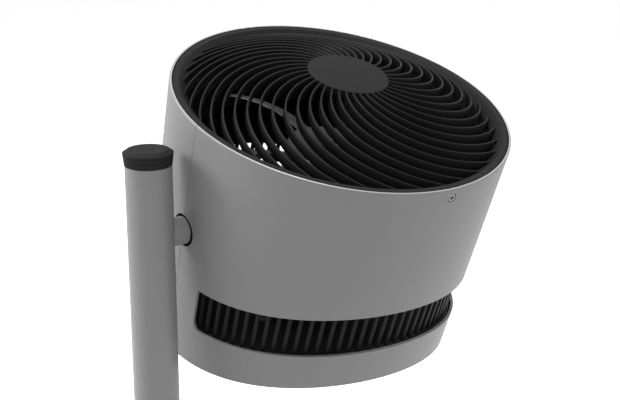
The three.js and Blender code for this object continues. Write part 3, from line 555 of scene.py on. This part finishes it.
def intake_bars(side):
    """Upright rounded bars in a row round the slot, each a straight section carried from below the
    slot's lower edge to above its upper one, just behind a face set back from the drum."""
    start, end = SLOT_END - INTAKE_OVERLAP, np.pi - SLOT_END + INTAKE_OVERLAP
    theta = start + (end - start) * (np.arange(BAR_COUNT) + 0.5) / BAR_COUNT
    low = edge_height(SLOT_BOTTOM, theta) - RAIL_HEIGHT
    high = edge_height(SLOT_TOP, theta) + RAIL_HEIGHT
    z = low[:, None] + (high - low)[:, None] * np.linspace(0, 1, 4)
    section = bar_section(BAR_WIDTH, BAR_DEPTH, BAR_EDGE)
    r = (drum_radius(z) - INTAKE_RECESS - 0.5 - BAR_DEPTH / 2)[..., None] + section[:, 1]
    c, s = np.cos(theta)[:, None, None], np.sin(theta)[:, None, None]
    points = np.stack([r * c - section[:, 0] * s, side * (r * s + section[:, 0] * c),
                       np.broadcast_to(z[..., None], r.shape)], -1)
    return skin(points, capped=True)


def intake_rail(side, edge, offset):
    """A rounded rail carried along one wavy edge of the slot."""
    theta = np.linspace(SLOT_END - INTAKE_OVERLAP, np.pi - SLOT_END + INTAKE_OVERLAP, 90)
    z = edge_height(edge, theta) + offset
    section = bar_section(RAIL_DEPTH, RAIL_HEIGHT, RAIL_EDGE)
    r = (drum_radius(z) - INTAKE_RECESS - 0.8)[:, None] + section[:, 0]
    points = np.stack([r * np.cos(theta)[:, None], side * r * np.sin(theta)[:, None],
                       z[:, None] + section[:, 1]], -1)
    return skin(points, capped=True)


for side, face in ((-1, "front"), (1, "rear")):
    parts = (intake_bars(side), intake_rail(side, SLOT_TOP, RAIL_HEIGHT),
             intake_rail(side, SLOT_BOTTOM, -RAIL_HEIGHT))
    build(face + "_intake_bars", "head", "grille_black", [in_head(part) for part in parts],
          face + "_intake_grille")

# ---------------------------------------------------------------- inside the head

COVER_LIFT, COVER_THICK, COVER_BEAD = 3.0, 2.5, 1.4


def bottom_plate():
    """The drum's underside: height follows the square of y, as the drum's lower edge does, and
    steps up inside a round bead.  Over and under run out to the same rounded edge."""
    base = drum_radius(DRUM_BOTTOM[0])
    radius = base - WALL - 1.5
    angle = np.arange(144) * 2 * np.pi / 144
    out = np.concatenate([np.linspace(0, 0.8, 9), np.linspace(0.83, 0.99, 9), [0.997, 1.0]]) * radius
    step = COVER_BEAD * (1 - np.clip((out / radius - 0.86) / 0.03, 0, 1)) ** 2
    edge = np.array([0.0] * 17 + [0.15, 0.45, 0.9])
    under, over = step + edge, COVER_THICK + step * 0.2 - edge
    r = np.concatenate([out, out[::-1]])
    lift = np.concatenate([np.minimum(under, over - 0.8), over[::-1]])
    x, y = r * np.cos(angle)[:, None], r * np.sin(angle)[:, None]
    sag = DRUM_BOTTOM[0] + COVER_LIFT + DRUM_BOTTOM[1] * (y / base) ** 2
    return skin(np.stack([x, y, sag + lift], -1), along=True)


build("bottom_plate", "head", "black_plastic", [in_head(bottom_plate())], "bottom_cover")

duct = ring([
    (147, 56, 0), (147, 35, 8), (156, 23, 1.2), (159, 23, 1.2), (149.5, 37, 8), (149.5, 75.5, 2),
    (163.5, 75.5, 0.8), (163.5, 78, 0.8), (147, 78, 2), (147, 56, 0)], 160)
build("duct_ring", "head", "black_plastic", [in_head(duct)], "air_duct")

motor_can = ring([
    (9.3, -40, 0), (9.3, -46, 0.5), (40, -46, 4), (40, 3.7, 0.5), (38, 3.7, 0.5), (38, -44, 2),
    (11.3, -44, 1), (11.3, -38, 0.4), (9.3, -38, 0.4), (9.3, -40, 0)], 96)
build("motor_can", "head", "dark_steel", [in_head(motor_can)], "motor_housing")

BLADE_COUNT, BLADE_TIP, BLADE_HEIGHT, IMPELLER_HUB = 5, 143.0, 42.0, 45.0
BLADE_PHASE, BLADE_SWEEP = math.radians(2), 0.35


def impeller_blades():
    """Each blade is a cambered, round-nosed section set at a pitch that eases from 38 to 22 degrees
    and swept forward with the square of the span; the tip's corners are drawn in."""
    t = np.linspace(0, 1, 30)[:, None]
    nose = np.linspace(0, np.pi, 25)
    along = np.concatenate([-0.5 * np.cos(nose), 0.5 * np.cos(nose[1:-1])])
    face = np.concatenate([np.full(25, 1.0), np.full(23, -1.0)])
    belly = face * 1.3 * np.sqrt(np.clip(1 - (2 * along) ** 2, 0, 1)) ** 0.7
    r = IMPELLER_HUB - 1 + (BLADE_TIP - IMPELLER_HUB + 1) * t
    chord = (62 + 30 * t) * (1 - 0.35 * np.clip((t - 0.88) / 0.12, 0, 1) ** 2.2)
    pitch = np.radians(38 - 16 * t)
    angle = BLADE_SWEEP * t * t + along * chord * np.cos(pitch) / r
    camber = 5 * (1 - 4 * along ** 2)
    z = BLADE_HEIGHT + along * chord * np.sin(pitch) + camber + belly * (1 - 0.4 * t)
    turn = BLADE_PHASE + 2 * np.pi * np.arange(BLADE_COUNT)[:, None, None] / BLADE_COUNT
    points = np.stack([r * np.cos(angle + turn), r * np.sin(angle + turn),
                       np.broadcast_to(z, (BLADE_COUNT,) + z.shape)], -1)
    return skin(points, capped=True)


impeller_hub = ring([
    (4.3, 46, 0), (4.3, 30, 0.5), (12, 30, 0.5), (12, 58, 3), (42, 58, 3), (42, 24, 0.8),
    (IMPELLER_HUB, 24, 0.8), (IMPELLER_HUB, 62, 4), (4.3, 62, 0.5), (4.3, 46, 0)], 128)
build("impeller_wheel", "spinner", "impeller_grey",
      [in_head(impeller_blades()), in_head(impeller_hub)], "impeller")

# ---------------------------------------------------------------- pivot, pole and base

pole_low, pole_high = np.round(np.array(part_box("pole_tube")) / MM, 1)
POLE_PLACE = np.array([(pole_low[0] + pole_high[0]) / 2, 0.0, 0.0])
POLE_FOOT, POLE_TOP = pole_low[2], pole_high[2]
POLE_RADIUS, POLE_WALL, SEAT_RADIUS = 22.0, 2.0, 13.8


def pole_wall():
    """A tube with a round hole towards +X for the arm: angle by height, with the square patch
    round the hole drawn out to a circle."""
    reach = math.asin(SEAT_RADIUS / POLE_RADIUS)
    rows = np.sin(np.linspace(-np.pi / 2, np.pi / 2, 17))
    angle = np.concatenate([reach * np.concatenate([[-2, -1.5], rows, [1.5, 2]]),
                            np.linspace(2 * reach, 2 * np.pi - 2 * reach, 62)[1:-1]])
    height = np.concatenate([[POLE_FOOT, POLE_FOOT + 1], np.linspace(60, 900, 22),
                             PIVOT[2] + SEAT_RADIUS * np.concatenate([[-2, -1.5], rows, [1.5, 2]]),
                             [985, POLE_TOP - 1, POLE_TOP]])
    angle_grid, height_grid = np.meshgrid(angle, height, indexing="ij")
    a, b = angle_grid / reach, (height_grid - PIVOT[2]) / SEAT_RADIUS
    a = np.where(a > np.pi / reach, a - 2 * np.pi / reach, a)
    drawn_a, drawn_b = round_out(a, b)
    angle_grid = angle_grid + reach * (drawn_a - a)
    height_grid = height_grid + SEAT_RADIUS * (drawn_b - b)
    outer, inner = [np.stack([r * np.cos(angle_grid), r * np.sin(angle_grid), height_grid], -1)
                    for r in (POLE_RADIUS, POLE_RADIUS - POLE_WALL)]
    middle_a = (a + np.roll(a, -1, 0))[:, :-1] / 2
    middle_b = (b[:, :-1] + b[:, 1:]) / 2
    keep = (np.maximum(abs(middle_a), abs(middle_b)) > 1) | (abs(a[:, :-1]) > 2.5)
    return walled(outer, inner, keep, around=True)


build("pole", "stand", "pole_grey", [moved(pole_wall(), POLE_PLACE)], "pole_tube", bevel=0.35)

# The arm's stretch inside the drum's hole takes the black rubber look as painted shade in the gap round
# the arm.
GAP_SHADE_START = -165.0
arm = ring([
    (4.5, -150, 0), (4.5, -190, 0.4), (13.5, -190, 0.8), (13.5, GAP_SHADE_START, 0), (13.5, -150, 0.6),
    (8, -150, 0.4), (8, -124, 0.6), (4.5, -124, 0.4), (4.5, -150, 0)], 96)
# Faces from that start inwards are the painted shade.
arm_gap_shade = (arm[0][arm[1]][..., 2] > GAP_SHADE_START - 0.1).all(1)
build("tilt_arm", "stand", "pole_grey", [moved(along_x(arm), PIVOT)], "pivot_arm",
      looks=[FINISHES["pole_grey"], FINISHES["rubber"]], kinds=arm_gap_shade)

seal = ring([
    (14.1, -159.2, 0), (14.1, -158.4, 0.5), (16.8, -158.4, 0.5), (16.8, -160, 0.5),
    (14.1, -160, 0.5), (14.1, -159.2, 0)], 72)
build("arm_seal", "head", "rubber", [in_head(along_x(seal))], "pivot_seal")

BASE_RADIUS, BASE_HEIGHT, BASE_WALL = 180.0, 24.0, 3.0
INLET_HALF, INLET_LOW, INLET_HIGH = 8.3, 6.6, 18.2


def base_shell():
    """The base cover: circles that grow and shift from the pole's hole to the rim, then a wall
    that turns down in a soft shoulder.  A square window in the wall takes the power inlet."""
    gap = math.asin(INLET_HALF / BASE_RADIUS)
    beyond = np.linspace(np.pi / 2 + gap, 5 * np.pi / 2 - gap, 190)
    angle = np.concatenate([beyond, np.linspace(5 * np.pi / 2 - gap, 5 * np.pi / 2 + gap, 7)[1:-1]])
    shoulder = np.concatenate([[[166, BASE_HEIGHT]], fillet([
        (170, BASE_HEIGHT, 0), (177.4, 20.4, 6), (BASE_RADIUS, 13, 10), (BASE_RADIUS, 2.3, 0)])])
    for level in (INLET_HIGH, INLET_LOW):
        across = np.interp(-level, -shoulder[:, 1], shoulder[:, 0])
        place = np.searchsorted(-shoulder[:, 1], -level)
        shoulder = np.insert(shoulder, place, [across, level], 0)
    inner = np.minimum(shoulder - [BASE_WALL, 0], [BASE_RADIUS - BASE_WALL, BASE_HEIGHT - BASE_WALL])
    share = np.linspace(0, 1, 10)[:-1]
    hole = POLE_RADIUS + 0.6

    def cover(profile, level):
        centre = POLE_PLACE[0] * (1 - share)
        radius = np.concatenate([hole + (profile[0, 0] - hole) * share, profile[:, 0]])
        shift = np.concatenate([centre, np.zeros(len(profile))])
        z = np.concatenate([np.full(len(share), level), profile[:, 1]])
        x = shift + radius * np.cos(angle)[:, None]
        return np.stack([x, radius * np.sin(angle)[:, None], np.broadcast_to(z, x.shape)], -1)

    outside, inside = cover(shoulder, BASE_HEIGHT), cover(inner, BASE_HEIGHT - BASE_WALL)
    keep = np.ones((len(angle), outside.shape[1] - 1), bool)
    middle = (outside[0, :-1, 2] + outside[0, 1:, 2]) / 2
    keep[len(beyond) - 1:] &= ~((middle > INLET_LOW) & (middle < INLET_HIGH))
    return walled(outside, inside, keep, around=True)


build("base_dome", "stand", "shell_grey", [base_shell()], "base_cover", bevel=0.3)

pad = disc([(0, 0, 0), (168, 0, 0.6), (168, 2, 0.6), (0, 2, 0)], 180)
build("floor_pad", "stand", "rubber", [pad], "base_pad")

SOCKET_HEIGHT = 12.4


def inlet():
    """The power inlet: one outline per ring, going from the socket's floor, out along its round
    wall, over the face to a rounded square, and back along the outside to the closed rear.  The
    square is a superellipse of power 8."""
    angle = np.arange(64) * 2 * np.pi / 64
    c, s = np.cos(angle)[:, None], np.sin(angle)[:, None]
    square = (np.abs(c) ** 8 + np.abs(s) ** 8) ** (-1 / 8)
    half_x, half_z, drop, squared, y = np.array([
        (0, 0, 0, 0, 168), (4, 4, 0, 0, 168), (4, 4, 0, 0, 178.8), (4.5, 4.5, 0, 0, 179.3),
        (6.6, 4.7, 0, 1, 179.3), (7.65, 5.25, 0.15, 1, 179.3), (7.956, 5.46, 0.15, 1, 178.9),
        (7.956, 5.46, 0.15, 1, 162.2), (0, 0, 0.15, 1, 162.2)]).T
    outline = np.where(squared > 0, square, 1.0)
    x, z = half_x * outline * c, SOCKET_HEIGHT - drop + half_z * outline * s
    return skin(np.stack([x, np.broadcast_to(y, x.shape), z], -1), along=True)


build("inlet_socket", "stand", "black_plastic", [inlet()], "power_inlet")

# ---------------------------------------------------------------- remote control on top of the pole

REMOTE_PLACE = POLE_PLACE + [0, 0, np.round(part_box("remote_lower_shell")[0][2] / MM, 1)]
lower_half = disc([
    (0, 1.8, 0), (11, 1.8, 0.3), (11, 0, 0.3), (22.3, 0, 0.7), (22.8, 4.85, 0.15),
    (21.2, 4.85, 0.15), (21.2, 3.4, 0.3), (0, 3.4, 0)], 120)
upper_half = ring([
    (21.2, 8, 0), (21.2, 5.15, 0.15), (22.8, 5.15, 0.15), (23.7, 11.8, 0.5), (19, 15, 3),
    (6.4, 15, 0.35), (6.4, 12.8, 0.3), (15, 12.8, 0.6), (21.2, 10.4, 0.6), (21.2, 8, 0)], 120)
key = disc([
    (0, 11.1, 0), (9, 11.1, 0.3), (9, 12.5, 0.3), (6.1, 12.5, 0.3), (6.1, 15.2, 0.5),
    (0, 14.9, 0)], 72)
for name, body, part, node in (("remote_base", "remote", lower_half, "remote_lower_shell"),
                               ("remote_cap", "remote", upper_half, "remote_upper_shell"),
                               ("remote_key_top", "remote_key", key, "remote_button")):
    build(name, body, "black_plastic", [moved(part, REMOTE_PLACE)], node, looks=[remote_finish])

# ---------------------------------------------------------------- screws at the rim

SCREW_FLAT, SCREW_ROUND = 3.3, 0.6
CROSS_HALF, CROSS_REACH, CROSS_DEPTH = 0.75, 2.1, 1.8


def rim_screw():
    """A pan head over its shank; the top has a cross pressed in, its depth a smooth step of how far
    a point lies outside the cross, and a round edge.  Kinds are 1 in the cross and on the
    shank, 0 elsewhere; the cross's floor in kind 1 is painted black as the shade in its recess."""
    curve = np.sin(np.linspace(0, np.pi / 2, 5)[1:])
    radius = np.concatenate([np.linspace(0, SCREW_FLAT, 22), SCREW_FLAT + SCREW_ROUND * curve])
    angle = np.arange(96)[:, None] * 2 * np.pi / 96
    x, y = radius * np.cos(angle), radius * np.sin(angle)
    outside = np.minimum(np.maximum(abs(x) - CROSS_HALF, abs(y) - CROSS_REACH),
                         np.maximum(abs(y) - CROSS_HALF, abs(x) - CROSS_REACH))
    pressed = CROSS_DEPTH * np.clip(0.5 - outside / 0.3, 0, 1)
    beyond = np.maximum(radius - SCREW_FLAT, 0) / SCREW_ROUND
    edge = SCREW_ROUND * (1 - np.sqrt(np.clip(1 - beyond ** 2, 0, 1)))
    top = np.stack([x, y, -pressed - edge], -1)
    under_r, under_z = np.array([(3.9, -2.2), (1.6, -2.2), (1.6, -8.6), (1.2, -9), (0, -9)]).T
    below = np.stack([under_r * np.cos(angle), under_r * np.sin(angle),
                      np.broadcast_to(under_z, (len(angle), len(under_z)))], -1)
    points, faces = skin(np.concatenate([top, below], 1), along=True)
    corners = points[faces]
    # The deep faces are painted black: painted shade in the cross's recess.
    deep_painted_shade = corners[..., 2].max(1) < -CROSS_DEPTH / 2
    return (points, faces), deep_painted_shade & (np.hypot(corners[..., 0], corners[..., 1]).max(1) < SCREW_FLAT)


SCREW_Z = RIM_Z - SCREW_DROP
for side, node in ((-1, "rim_screw_front"), (1, "rim_screw_rear")):
    screw, kinds = rim_screw()
    placed = moved(along_y(screw, side), (0, side * (drum_radius(SCREW_Z) - 0.25), SCREW_Z))
    # The second look, black rubber, is painted shade in the screw's cross.
    build(node + "_head", "head", "pole_grey", [in_head(placed)], node,
          looks=[screw_finish, FINISHES["rubber"]], kinds=kinds)

# ---------------------------------------------------------------- floor

FLOOR_REACH = 40.0
floor_line = np.linspace(-FLOOR_REACH, FLOOR_REACH, 9)
floor_points = np.stack([*np.meshgrid(floor_line, floor_line, indexing="ij"), np.zeros((9, 9))], -1)
floor_vertices, floor_faces = skin(floor_points)
floor_mesh = bpy.data.meshes.new("floor")
floor_mesh.from_pydata(floor_vertices, [], floor_faces.tolist())
floor_mesh.materials.append(floor_finish)
floor = bpy.data.objects.new("floor", floor_mesh)
bpy.context.scene.collection.objects.link(floor)
